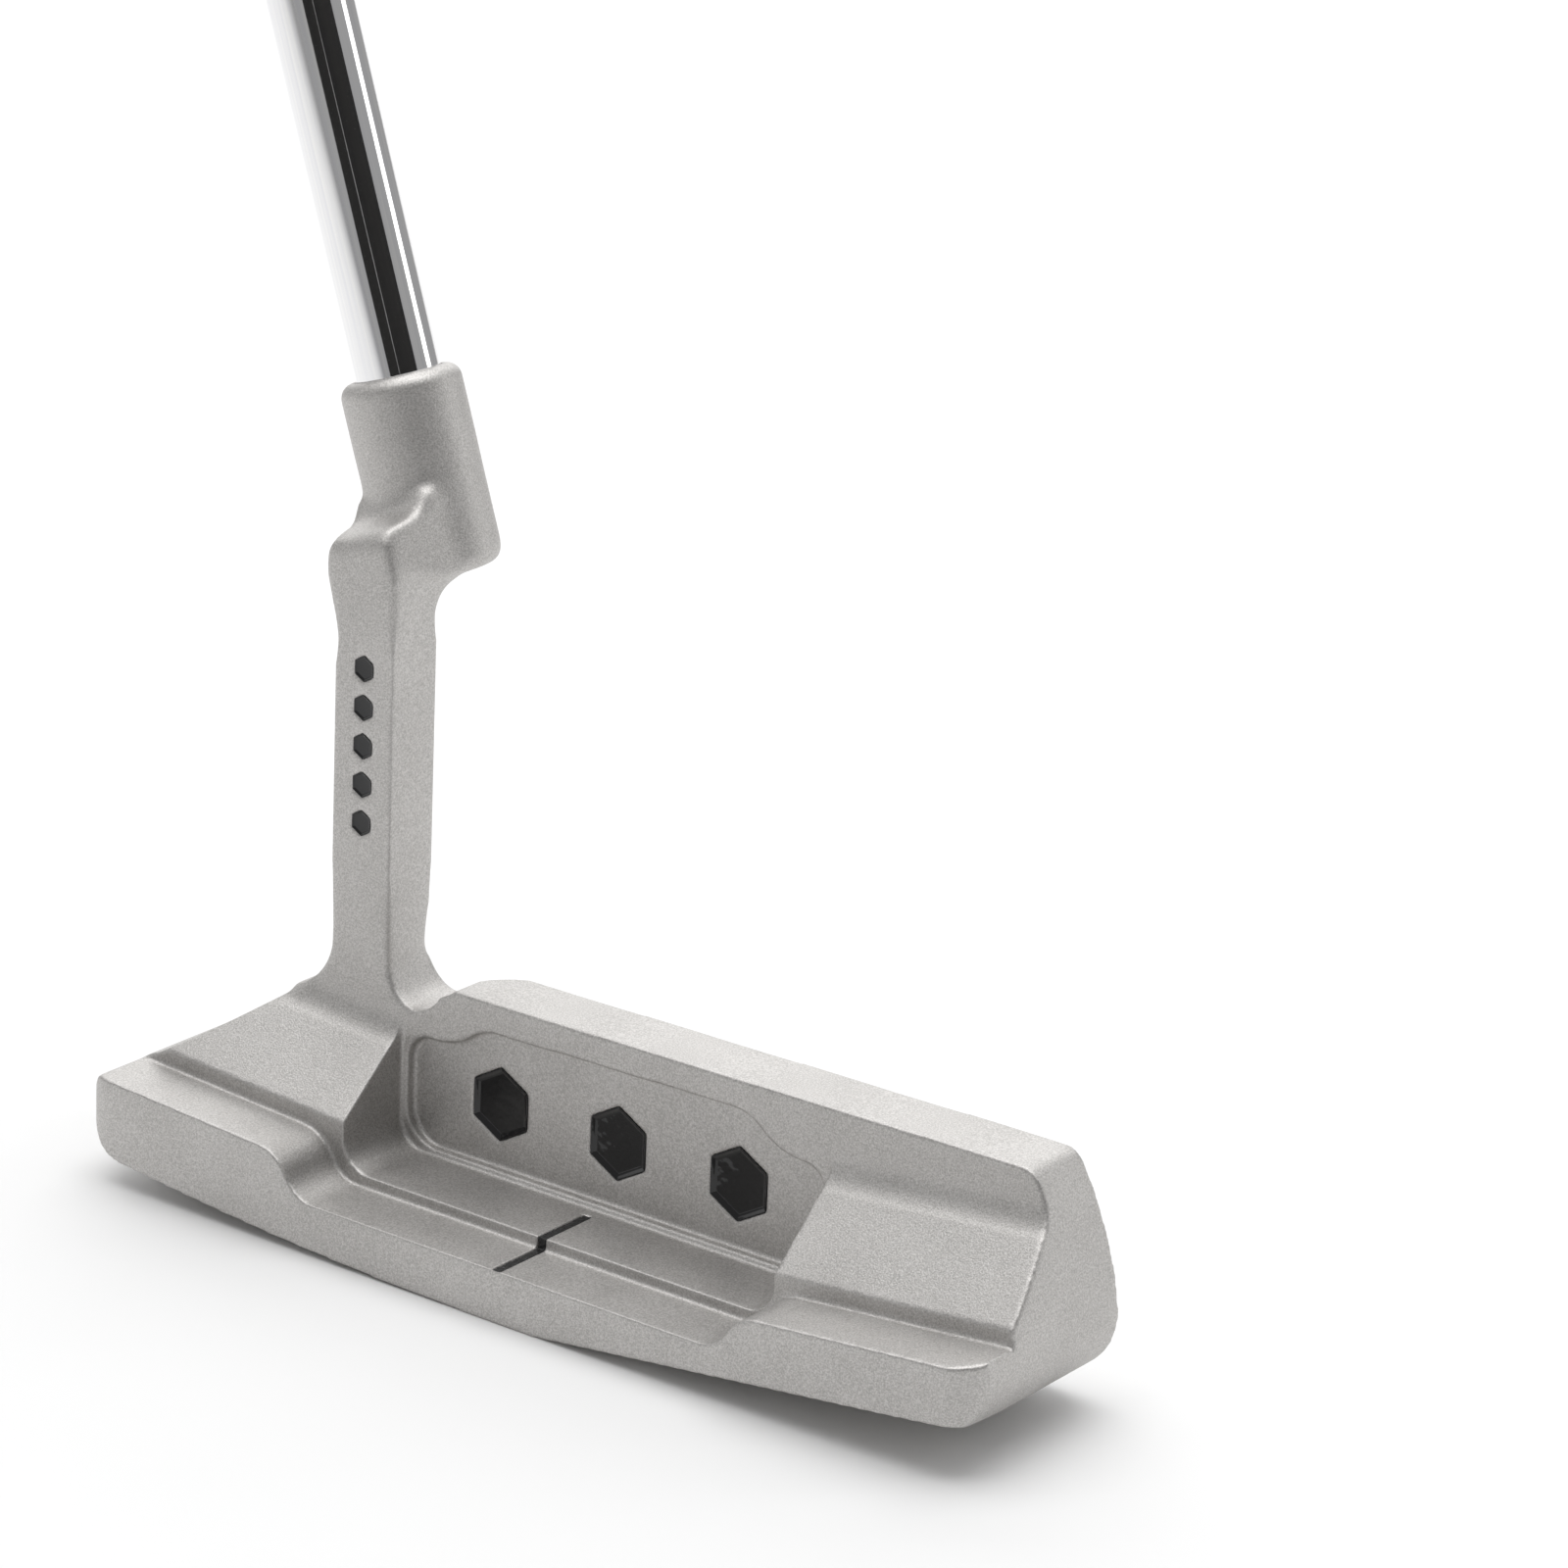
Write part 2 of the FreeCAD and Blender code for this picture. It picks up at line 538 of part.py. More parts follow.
def hosel_epoxy():
    outer = cylinder("glue_outside", "tip_radius + glue_gap", "hosel_rim - bore_depth", "bore_depth - 0.3")
    inner = cylinder("glue_inside", "tip_radius", "hosel_rim - bore_depth - 1", "bore_depth + 2")
    return leaned(boolean("Cut", "hosel_epoxy", outer, inner))


def grip_form(label, inset, low, height):
    """Round bar with a softened flat along its front, inset from the grip's outside."""
    flat = "(grip_radius - flat_cut - %s)" % inset
    reach = "sqrt((grip_radius - %s) ^ 2 - %s ^ 2)" % (inset, flat)
    shape = outline(label + "_outline", "plan", [
        (flat, "2.6 - " + reach),
        (flat, reach + " - 2.6", "grip_soften", 1),
        ("(grip_radius - %s) * cos(33)" % inset, "(grip_radius - %s) * sin(33)" % inset,
         "grip_radius - %s" % inset, 1),
        ("0", "grip_radius - %s" % inset, "grip_radius - %s" % inset, 1),
        ("%s - grip_radius" % inset, "0", "grip_radius - %s" % inset, 1),
        ("0", "%s - grip_radius" % inset, "grip_radius - %s" % inset, 1),
        ("(grip_radius - %s) * cos(33)" % inset, "(%s - grip_radius) * sin(33)" % inset,
         "grip_soften", 1),
    ])
    solid = extrude(label, shape, (0, 0, 1), height)
    return bind(solid, Placement__Base__z=sized(low))


SKIN_LOW = "club_length - grip_length + ring_height"
SKIN_LENGTH = "grip_length - ring_height - cap_height"


def below_top(place):
    return "club_length - " + place


def stripe_cutter(end, way):
    """Front stripe with its two slanting arms, seen on the flat front."""
    def corner(side, place):
        return "%d * (%s)" % (way, side), below_top(place)
    edge = "grip_radius + 2"
    # The arms run on past the side at their own slant, so their ends fall outside the grip.
    shape = outline(end + "_stripe_outline", "side", [
        corner("stripe_inner", "stripe_top_in"),
        corner("grip_radius", "arm_top_in"),
        corner(edge, "arm_top_in + 4"),
        corner(edge, "arm_top_out - 2"),
        corner("grip_radius", "arm_top_out"),
        corner("stripe_outer", "stripe_top_out"),
        corner("stripe_outer", "stripe_end_out"),
        corner("grip_radius", "arm_end_out"),
        corner(edge, "arm_end_out + 2"),
        corner(edge, "arm_end_in - 2"),
        corner("grip_radius", "arm_end_in"),
        corner("stripe_inner", "stripe_end_in"),
    ])
    return extrude(end + "_stripe_cutter", shape, (1, 0, 0), "30")


def panel_cutter():
    """Back half of the grip, wider in its middle."""
    shape = outline("panel_outline", "front", [
        ("-30", below_top("panel_end")),
        ("-2", below_top("panel_end")),
        ("0", below_top("panel_end + 4")),
        ("0", below_top("panel_wide_end + 7")),
        ("panel_widen", below_top("panel_wide_end")),
        ("panel_widen", below_top("panel_wide_top")),
        ("0", below_top("panel_wide_top - 7")),
        ("0", below_top("panel_top + 4")),
        ("-2", below_top("panel_top")),
        ("-30", below_top("panel_top")),
    ])
    return extrude("panel_cutter", shape, (0, 1, 0), "30", "30")


def grip_pieces():
    """Skin with its inlaid bands, each cut from the same shell by the same cutters."""
    def shell(label):
        outer = grip_form(label + "_outer", "0", SKIN_LOW, SKIN_LENGTH)
        inner = grip_form(label + "_inner", "skin_wall", "(%s) - 1" % SKIN_LOW, "(%s) + 2" % SKIN_LENGTH)
        return boolean("Cut", label, outer, inner)
    left, right, panel = stripe_cutter("left", -1), stripe_cutter("right", 1), panel_cutter()
    pieces = [
        leaned(boolean("Cut", "grip_skin", shell("skin_shell"), left, right, panel)),
        leaned(boolean("Common", "grip_stripe_left", shell("left_shell"), left)),
        leaned(boolean("Common", "grip_stripe_right", shell("right_shell"), right)),
        leaned(boolean("Common", "grip_back_panel",
                       boolean("Cut", "unstriped_shell", shell("back_shell"), left, right), panel)),
    ]
    core = grip_form("core_outside", "skin_wall", SKIN_LOW, SKIN_LENGTH)
    core_hole = tapered("core_hole", "tape_wall", "%s - 1" % SKIN_LOW,
                        "(%s) + (%s) + 1" % (SKIN_LOW, SKIN_LENGTH))
    pieces.append(leaned(boolean("Cut", "grip_core", core, core_hole)))
    tape_high = "(%s) + (%s)" % (SKIN_LOW, SKIN_LENGTH)
    tape = tapered("tape_outside", "tape_wall", GRIP_LOW, tape_high)
    tape_hole = tapered("tape_hole", "0", GRIP_LOW + " - 1", tape_high + " + 1")
    pieces.append(leaned(boolean("Cut", "grip_tape", tape, tape_hole)))
    return pieces


def end_cap():
    """Domed cap with a socket for the shaft's butt and a vent hole."""
    top_edge = float(sheet.evalExpression("club_length")) - 0.01
    full = grip_form("cap_full", "0", below_top("cap_height"), "cap_height")
    soft = rounded("cap_soft", full, "cap_round", lambda edge: edge.BoundBox.ZMin > top_edge)
    socket = cylinder("cap_socket", "butt_radius + tape_wall", below_top("cap_height") + " - 1", "5.2")
    vent = cylinder("cap_vent", "vent_radius", below_top("cap_height"), "cap_height + 1")
    return leaned(boolean("Cut", "grip_end_cap", soft, socket, vent))


def mouth_ring():
    full = cylinder("ring_full", "ring_radius", GRIP_LOW, "ring_height")
    soft = rounded("ring_soft", full, "ring_round", lambda edge: edge.Curve.TypeId == "Part::GeomCircle")
    hole = tapered("ring_hole", "tape_wall", GRIP_LOW + " - 1", GRIP_LOW + " + ring_height + 1")
    return leaned(boolean("Cut", "grip_mouth_ring", soft, hole))


# ---------------------------------------------------------------- build, check and export

NODES = [putter_head()]
NODES += [hex_prism(end, "hex_inlay_" + end, "hex_depth - paint_gap", "paint_gap") for end in HEX_PLACES]
NODES.append(sight_line("sight_line_fill", "-paint_gap", "line_depth", "line_width"))
NODES.append(fuse("neck_mark_fill", *[
    mark_prism("mark_paint_%d" % n, n, "mark_depth - paint_gap", "paint_gap") for n in range(5)]))
NODES += [hosel_epoxy(), shaft()]
NODES += grip_pieces()
NODES += [end_cap(), mouth_ring()]

doc.recompute()
for item in doc.Objects:
    if "Invalid" in item.State or "Error" in item.State:
        raise RuntimeError("%s is not valid: %s" % (item.Label, item.State))

os.makedirs("parts", exist_ok=True)
for node in NODES:
    if node.Shape.isNull() or not node.Shape.isValid() or node.Shape.Volume <= 0:
        raise RuntimeError("%s has no valid shape" % node.Label)
    node.Shape.exportStep("parts/%s.step" % node.Label)
    print("%-18s solids %d  volume %.1f mm3" % (node.Label, len(node.Shape.Solids), node.Shape.Volume))
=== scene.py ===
import math

import bmesh
import bpy
from mathutils import Matrix, Vector


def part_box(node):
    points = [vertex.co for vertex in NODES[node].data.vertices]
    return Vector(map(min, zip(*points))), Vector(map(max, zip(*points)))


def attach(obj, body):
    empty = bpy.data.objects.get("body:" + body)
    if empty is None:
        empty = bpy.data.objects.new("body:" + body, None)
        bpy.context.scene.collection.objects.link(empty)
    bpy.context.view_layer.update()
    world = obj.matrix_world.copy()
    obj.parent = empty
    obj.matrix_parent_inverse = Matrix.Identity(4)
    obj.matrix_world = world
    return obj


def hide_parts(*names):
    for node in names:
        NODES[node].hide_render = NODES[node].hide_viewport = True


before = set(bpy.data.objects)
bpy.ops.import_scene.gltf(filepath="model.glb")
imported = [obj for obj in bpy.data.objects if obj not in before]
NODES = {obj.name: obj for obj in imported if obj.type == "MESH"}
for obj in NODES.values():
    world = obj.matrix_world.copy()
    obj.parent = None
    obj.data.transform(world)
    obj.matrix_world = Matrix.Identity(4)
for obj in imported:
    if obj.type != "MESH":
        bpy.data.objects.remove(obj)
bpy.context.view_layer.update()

# Blade putter at address.  The frame is in metres; MM turns the maker's millimetres into metres.
MM = 0.001


# ---------------------------------------------------------------- workshop helpers

def pick(piece):
    """Only this piece is selected and active."""
    bpy.ops.object.select_all(action="DESELECT")
    piece.select_set(True)
    bpy.context.view_layer.objects.active = piece
    return piece


def settle(name):
    """Names the newly added primitive and puts its place into its mesh."""
    piece = bpy.context.object
    piece.name = piece.data.name = name
    bpy.ops.object.transform_apply(location=True, rotation=True, scale=True)
    return pick(piece)


def modify(piece, kind, **settings):
    pick(piece)
    tool = piece.modifiers.new(kind, kind)
    for setting, value in settings.items():
        setattr(tool, setting, value)
    bpy.ops.object.modifier_apply(modifier=tool.name)


def edit(piece, what="FACE"):
    pick(piece)
    bpy.ops.object.mode_set(mode="EDIT")
    bpy.ops.mesh.select_mode(type=what)


def done():
    bpy.ops.object.mode_set(mode="OBJECT")


def copy_of(node, name):
    """A merged copy of a CAD node's loose triangles."""
    piece = bpy.data.objects.new(name, NODES[node].data.copy())
    piece.data.name = name
    piece.data.materials.clear()
    bpy.context.scene.collection.objects.link(piece)
    edit(piece)
    bpy.ops.mesh.select_all(action="SELECT")
    bpy.ops.mesh.remove_doubles(threshold=0.002 * MM)
    done()
    return piece


def smooth(piece, degrees=None):
    pick(piece)
    if degrees is None:
        bpy.ops.object.shade_smooth()
    else:
        bpy.ops.object.shade_smooth_by_angle(angle=math.radians(degrees))


def finish(piece, material, slot, *nodes):
    piece.data.materials.clear()
    piece.data.materials.append(material)
    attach(piece, "root")
    if nodes:
        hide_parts(*nodes)


# ---------------------------------------------------------------- the club's own axis

def middle(node):
    low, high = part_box(node)
    return (low + high) / 2


ring_middle, glue_middle = middle("grip_mouth_ring"), middle("hosel_epoxy")
ALONG = (ring_middle - glue_middle).normalized()
FOOT = glue_middle - ALONG * (glue_middle.z / ALONG.z)
LEAN = math.atan2(-ALONG.x, ALONG.z)
CLUB = Matrix.Translation(FOOT) @ Matrix.Rotation(-LEAN, 4, "Y")
UNCLUB = CLUB.inverted()


def span(node):
    """Lowest and highest corner of a node, measured along the club's own axis, in millimetres."""
    places = [(UNCLUB @ v.co) / MM for v in NODES[node].data.vertices]
    return (Vector([min(p[i] for p in places) for i in range(3)]),
            Vector([max(p[i] for p in places) for i in range(3)]))


# ---------------------------------------------------------------- finishes

class Value:
    """A node's output; arithmetic on it adds Math nodes."""

    def __init__(self, paint, socket):
        self.paint, self.socket = paint, socket

    def maths(self, operation, *terms):
        return self.paint.node("ShaderNodeMath", {"operation": operation}, dict(enumerate(terms)))

    def __add__(self, other):
        return self.maths("ADD", self, other)

    def __mul__(self, other):
        return self.maths("MULTIPLY", self, other)

    __radd__, __rmul__ = __add__, __mul__

    def between(self, low, high):
        """0 below low, 1 above high, smooth between."""
        return self.paint.node("ShaderNodeMapRange", {"interpolation_type": "SMOOTHSTEP"},
                               {"Value": self, "From Min": low, "From Max": high})


class Paint:
    """One finish and its node tree."""

    def __init__(self, name, **constants):
        self.material = bpy.data.materials.new(name)
        self.material.use_nodes = True
        self.tree = self.material.node_tree
        self.shader = self.tree.nodes["Principled BSDF"]
        for socket, value in constants.items():
            self.shader.inputs[socket.replace("_", " ")].default_value = value

    def node(self, kind, settings=None, inputs=None, output=0):
        made = self.tree.nodes.new(kind)
        for setting, value in (settings or {}).items():
            setattr(made, setting, value)
        for socket, value in (inputs or {}).items():
            if isinstance(value, Value):
                self.tree.links.new(value.socket, made.inputs[socket])
            else:
                made.inputs[socket].default_value = value
        return Value(self, made.outputs[output])

    def place(self):
        return self.node("ShaderNodeTexCoord", output="Object")

    def club_place(self, stretch=(1.0, 1.0, 1.0)):
        """Object coordinates turned upright on the club's axis, then stretched."""
        upright = self.node("ShaderNodeMapping", {"vector_type": "TEXTURE"},
                            {"Vector": self.place(), "Location": FOOT,
                             "Rotation": (0, -LEAN, 0)})
        return self.node("ShaderNodeVectorMath", {"operation": "MULTIPLY"},
                         {0: upright, 1: stretch})

    def noise(self, size, detail=2.0, rough=0.5, at=None, seed=0.0):
        """Noise whose lumps are about size millimetres."""
        return self.node("ShaderNodeTexNoise", {"noise_dimensions": "4D"},
                         {"Vector": at or self.place(), "W": seed, "Scale": 1 / (size * MM),
                          "Detail": detail, "Roughness": rough})

    def blend(self, factor, first, second):
        return self.node("ShaderNodeMix", {"data_type": "RGBA"},
                         {0: factor, 6: first, 7: second}, output=2)

    def feed(self, **links):
        for socket, value in links.items():
            self.tree.links.new(value.socket, self.shader.inputs[socket.replace("_", " ")])

    def bump(self, height, deep, strength=1.0):
        self.feed(Normal=self.node("ShaderNodeBump", None, {
            "Height": height, "Distance": deep * MM, "Strength": strength}))


def rgb(red, green, blue):
    return (red, green, blue, 1.0)


def blasted_steel():
    """Bead-blasted stainless: sharp fine grain and a faint slow mottle."""
    paint = Paint("blasted_steel", Metallic=1.0)
    grain = paint.noise(0.19, 2.0, 0.65)
    mottle = paint.noise(9.0, 3.0, 0.5, seed=2.0)
    tone = grain * 0.85 + mottle * 0.15
    paint.feed(
        Base_Color=paint.blend(tone.between(0.30, 0.70),
                               rgb(0.41, 0.398, 0.385), rgb(0.68, 0.665, 0.65)),
        Roughness=grain * 0.14 + mottle * 0.06 + 0.44)
    paint.bump(grain, 0.05, 0.8)
    return paint.material


def gloss_paint(name, ripple, size):
    paint = Paint(name)
    wave = paint.noise(size, 2.0, 0.5, seed=1.0)
    dust = paint.noise(0.3, 2.0, 0.7, seed=5.0)
    paint.feed(
        Base_Color=paint.blend(wave, rgb(0.0035, 0.0035, 0.004), rgb(0.008, 0.008, 0.009)),
        Roughness=dust.between(0.45, 0.8) * 0.10 + 0.03)
    paint.bump(wave, ripple)
    return paint.material


def line_paint():
    paint = Paint("line_paint")
    grain = paint.noise(0.16, 3.0, 0.7)
    paint.feed(
        Base_Color=paint.blend(grain.between(0.4, 0.7),
                               rgb(0.006, 0.006, 0.006), rgb(0.03, 0.03, 0.03)),
        Roughness=grain * 0.3 + 0.2)
    paint.bump(grain, 0.06)
    return paint.material


def chrome():
    """Plated tube: near-mirror, with draw marks along the shaft."""
    paint = Paint("chrome", Metallic=1.0)
    streak = paint.noise(0.5, 3.0, 0.6, at=paint.club_place((1, 1, 0.01)))
    smear = paint.noise(9.0, 3.0, 0.6, seed=3.0)
    paint.feed(
        Base_Color=paint.blend(streak.between(0.3, 0.75),
                               rgb(0.80, 0.80, 0.82), rgb(0.90, 0.895, 0.885)),
        Roughness=streak * 0.05 + smear * 0.03 + 0.015)
    paint.bump(streak, 0.002)
    return paint.material


def skin_finish(name, dark, light, rough, fine):
    """Grip skin: a fine leather grain over slow clouds of tone."""
    paint = Paint(name)
    leather = paint.noise(0.35, 3.0, 0.6)
    cloud = paint.noise(14.0, 2.0, 0.5, seed=4.0)
    paint.feed(
        Base_Color=paint.blend(leather * 0.5 + cloud * 0.5, dark, light),
        Roughness=leather * 0.12 + rough)
    paint.bump(leather, fine)
    return paint.material


def pebbled_rubber():
    paint = Paint("pebbled_rubber")
    pebble = paint.noise(0.7, 2.0, 0.55)
    bloom = paint.noise(6.0, 3.0, 0.6, seed=6.0)
    paint.feed(
        Base_Color=paint.blend(pebble * 0.6 + bloom * 0.4,
                               rgb(0.010, 0.010, 0.011), rgb(0.030, 0.030, 0.032)),
        Roughness=pebble * 0.2 + bloom * 0.15 + 0.3)
    paint.bump(pebble, 0.22, 0.8)
    return paint.material


def plain_inside(name, dark, light, size, rough, deep):
    """Finish for what the grip and hosel hide: foam, tape and glue."""
    paint = Paint(name)
    cells = paint.noise(size, 3.0, 0.6)
    paint.feed(Base_Color=paint.blend(cells.between(0.3, 0.7), dark, light),
               Roughness=cells * 0.2 + rough)
    paint.bump(cells, deep)
    return paint.material


STEEL = blasted_steel()
INLAY_PAINT = gloss_paint("inlay_paint", ripple=0.05, size=2.2)
LINE_PAINT = line_paint()
CHROME = chrome()
WHITE_SKIN = skin_finish("white_skin", rgb(0.78, 0.77, 0.765), rgb(0.87, 0.86, 0.855),
                         rough=0.42, fine=0.02)
BLACK_SKIN = skin_finish("black_skin", rgb(0.008, 0.008, 0.008), rgb(0.022, 0.022, 0.023),
                         rough=0.28, fine=0.02)
RUBBER = pebbled_rubber()
FOAM = plain_inside("eva_foam", rgb(0.03, 0.03, 0.032), rgb(0.07, 0.07, 0.072),
                    size=0.6, rough=0.7, deep=0.1)
TAPE = plain_inside("fleece_tape", rgb(0.62, 0.58, 0.48), rgb(0.78, 0.75, 0.66),
                    size=0.4, rough=0.6, deep=0.04)
EPOXY = plain_inside("epoxy", rgb(0.35, 0.30, 0.18), rgb(0.50, 0.45, 0.30),
                     size=0.8, rough=0.3, deep=0.03)


# ---------------------------------------------------------------- head

HEAD_VOXEL = 0.25
HEAD_TRIANGLES = 190000
BLASTED = 2         # rounds of smoothing all over
ENDS_SOFT = 9       # and where the milling cutter left rounder edges
ROOT_SOFT = 50
CROOK_SOFT = 160
ARM_SOFT = 110


def weigh(piece, name, weight):
    """Vertex group whose weights come from each vertex's place in millimetres."""
    group = piece.vertex_groups.new(name=name)
    lots = {}
    for v in piece.data.vertices:
        value = round(weight(v.co.x / MM, v.co.y / MM, v.co.z / MM), 1)
        if value > 0:
            lots.setdefault(value, []).append(v.index)
    for value, members in lots.items():
        group.add(members, value, "REPLACE")


def ramp(value, start, end):
    """0 before start, 1 after end, straight between."""
    return min(max((value - start) / (end - start), 0.0), 1.0)


def machined_head():
    """The milled head: edges broken and blended as the blasting leaves them."""
    piece = copy_of("putter_head", "milled_head")
    low, high = [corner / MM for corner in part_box("putter_head")]
    post = middle("neck_mark_fill").x / MM
    modify(piece, "REMESH", mode="VOXEL", voxel_size=HEAD_VOXEL * MM)
    modify(piece, "SMOOTH", factor=0.5, iterations=BLASTED)

    def ends(x, y, z):
        """Toe, heel and sole."""
        return max(ramp(x, high.x - 9, high.x - 3), ramp(-x, -low.x - 7, -low.x - 2),
                   ramp(-z, -low.z - 5, -low.z - 2))

    def root(x, y, z):
        """Where the neck flares into the blade."""
        return (ramp(z, low.z + 19, low.z + 23) * ramp(-z, -low.z - 38, -low.z - 30)
                * ramp(x - post, -20, -12) * ramp(post - x, -9, -5.5))

    def crook(x, y, z):
        """Between the neck's toe side and the topline."""
        return (ramp(z, low.z + 20, low.z + 22.5) * ramp(-z, -low.z - 33, -low.z - 28)
                * ramp(-abs(x - post - 4), -5, -2.5) * ramp(y, 2, 4.5))

    def arm(x, y, z):
        """The arm that carries the hosel, measured along the shaft."""
        at = UNCLUB @ Vector((x * MM, y * MM, z * MM)) / MM
        return ramp(at.z, 66, 71) * ramp(-at.z, -87, -83)

    softened = (("ends", ends, ENDS_SOFT), ("root", root, ROOT_SOFT),
                ("crook", crook, CROOK_SOFT), ("arm", arm, ARM_SOFT))
    for region, weight, rounds in softened:
        weigh(piece, region, weight)
    for region, weight, rounds in softened:
        modify(piece, "SMOOTH", factor=0.5, iterations=rounds, vertex_group=region)
    triangles = len(piece.data.polygons) * 2
    modify(piece, "DECIMATE", ratio=min(1.0, HEAD_TRIANGLES / triangles))
    smooth(piece)
    finish(piece, STEEL, "head_steel", "putter_head")


POOL_EDGE = 0.08
POOL_BEVEL = 0.05


def paint_pool(name, low, high, rim, band, dish, node):
    """Hexagonal pool of enamel, proud by rim, that dips by dish within a band round its walls."""
    flats = high.x - low.x
    deep = high.y - low.y
    bpy.ops.object.select_all(action="DESELECT")
    bpy.ops.mesh.primitive_circle_add(
        vertices=6, radius=flats / math.sqrt(3), fill_type="NGON",
        location=((low.x + high.x) / 2, high.y, (low.z + high.z) / 2),
        rotation=(math.radians(90), 0, 0))
    piece = settle(name)
    edit(piece)
    bpy.ops.mesh.select_all(action="SELECT")
    bpy.ops.mesh.extrude_region_move(TRANSFORM_OT_translate={"value": (0, -deep - rim * MM, 0)})
    bpy.ops.mesh.inset(thickness=POOL_EDGE * MM, depth=0)
    bpy.ops.mesh.inset(thickness=band * 0.55 * MM, depth=-dish * 0.7 * MM)
    bpy.ops.mesh.inset(thickness=band * 0.45 * MM, depth=-dish * 0.3 * MM)
    bpy.ops.mesh.select_all(action="SELECT")
    bpy.ops.mesh.normals_make_consistent(inside=False)
    done()
    modify(piece, "BEVEL", width=POOL_BEVEL * MM, segments=2, limit_method="ANGLE",
           angle_limit=math.radians(12))
    smooth(piece, 40)
    finish(piece, INLAY_PAINT, "black_paint", node)


def inlays():
    """The three large enamel hexagons in the pocket."""
    for place in ("heel", "centre", "toe"):
        node = "hex_inlay_" + place
        low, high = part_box(node)
        paint_pool("inlay_" + place, low, high, rim=0.05, band=0.55, dish=0.34, node=node)


NECK_MARKS = 5


def neck_marks():
    """Five little enamel hexagons up the back of the neck."""
    low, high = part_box("neck_mark_fill")
    tall = (high.x - low.x) * 2 / math.sqrt(3)
    pitch = (high.z - low.z - tall) / (NECK_MARKS - 1)
    for step in range(NECK_MARKS):
        start = Vector((low.x, low.y, low.z + step * pitch))
        end = Vector((high.x, high.y, start.z + tall))
        paint_pool("neck_mark_%d" % (step + 1), start, end, rim=0.04, band=0.22, dish=0.14,
                   node="neck_mark_fill")


LINE_VOXEL = 0.09
LUMP_SIZE = 0.35
LUMP_DEPTH = 0.22


def sight_line():
    """Brushed-in line paint, grainy and a little ragged at its edges."""
    piece = copy_of("sight_line_fill", "sight_line")
    modify(piece, "REMESH", mode="VOXEL", voxel_size=LINE_VOXEL * MM)
    modify(piece, "SMOOTH", factor=0.5, iterations=4)
    lumps = bpy.data.textures.new("line_lumps", "CLOUDS")
    lumps.noise_scale = LUMP_SIZE * MM
    modify(piece, "DISPLACE", texture=lumps, texture_coords="LOCAL", strength=LUMP_DEPTH * MM,
           mid_level=0.5)
    smooth(piece)
    finish(piece, LINE_PAINT, "black_paint", "sight_line_fill")


# ---------------------------------------------------------------- turned pieces

def turned(name, profile, steps):
    """A ring of points drawn up the club's axis through the profile's (radius, along) stations."""
    radius, along = profile[0]
    bpy.ops.object.select_all(action="DESELECT")
    bpy.ops.mesh.primitive_circle_add(vertices=steps, radius=radius * MM,
                                      location=(0, 0, along * MM))
    piece = settle(name)
    edit(piece, "EDGE")
    bpy.ops.mesh.select_all(action="SELECT")
    for wider, further in profile[1:]:
        bpy.ops.mesh.extrude_edges_move(
            TRANSFORM_OT_translate={"value": (0, 0, (further - along) * MM)})
        bpy.ops.transform.resize(value=(wider / radius, wider / radius, 1),
                                 center_override=(0, 0, further * MM))
        radius, along = wider, further
    bpy.ops.mesh.select_all(action="SELECT")
    bpy.ops.mesh.remove_doubles(threshold=0.0005 * MM)
    bpy.ops.mesh.normals_make_consistent(inside=False)
    done()
    return piece


def arc(middle_radius, middle_along, radius, start, end, steps):
    """Stations on an arc of the profile; degrees from straight out towards the club's top."""
    turns = [math.radians(start + (end - start) * i / steps) for i in range(steps + 1)]
    return [(middle_radius + radius * math.cos(a), middle_along + radius * math.sin(a))
            for a in turns]


SHAFT_TIP = 4.7         # radius
SHAFT_WALL = 0.6
TAPER_START = 200.0


def shaft():
    """Plated tube: parallel at its tip, then one long taper up to the butt."""
    low, high = span("shaft")
    wider, longer = high.x - SHAFT_TIP, high.z - TAPER_START
    outside = [(SHAFT_TIP, low.z), (SHAFT_TIP, TAPER_START - 6),
               (SHAFT_TIP + 0.004, TAPER_START), (SHAFT_TIP + 0.03, TAPER_START + 8)]
    outside += [(SHAFT_TIP + wider * f, TAPER_START + longer * f)
                for f in (0.1, 0.3, 0.5, 0.7, 0.9, 1.0)]
    inside = [(radius - SHAFT_WALL, along) for radius, along in reversed(outside)]
    piece = turned("chrome_shaft", outside + inside + outside[:1], 128)
    piece.data.transform(CLUB)
    smooth(piece, 40)
    finish(piece, CHROME, "chrome_plate", "shaft")


def mouth_ring():
    """Rounded rubber ring at the grip's mouth."""
    low, high = span("grip_mouth_ring")
    radius, soft, inner, lip = high.x, 2.4, 7.3, 0.4
    profile = [(inner, low.z + lip), (inner + lip, low.z)]
    profile += arc(radius - soft, low.z + soft, soft, -90, 0, 10)
    profile += arc(radius - soft, high.z - soft, soft, 0, 90, 10)
    profile += [(inner, high.z), profile[0]]
    piece = turned("mouth_ring", profile, 200)
    piece.data.transform(CLUB)
    smooth(piece, 40)
    finish(piece, RUBBER, "cap_rubber", "grip_mouth_ring")


# ---------------------------------------------------------------- grip

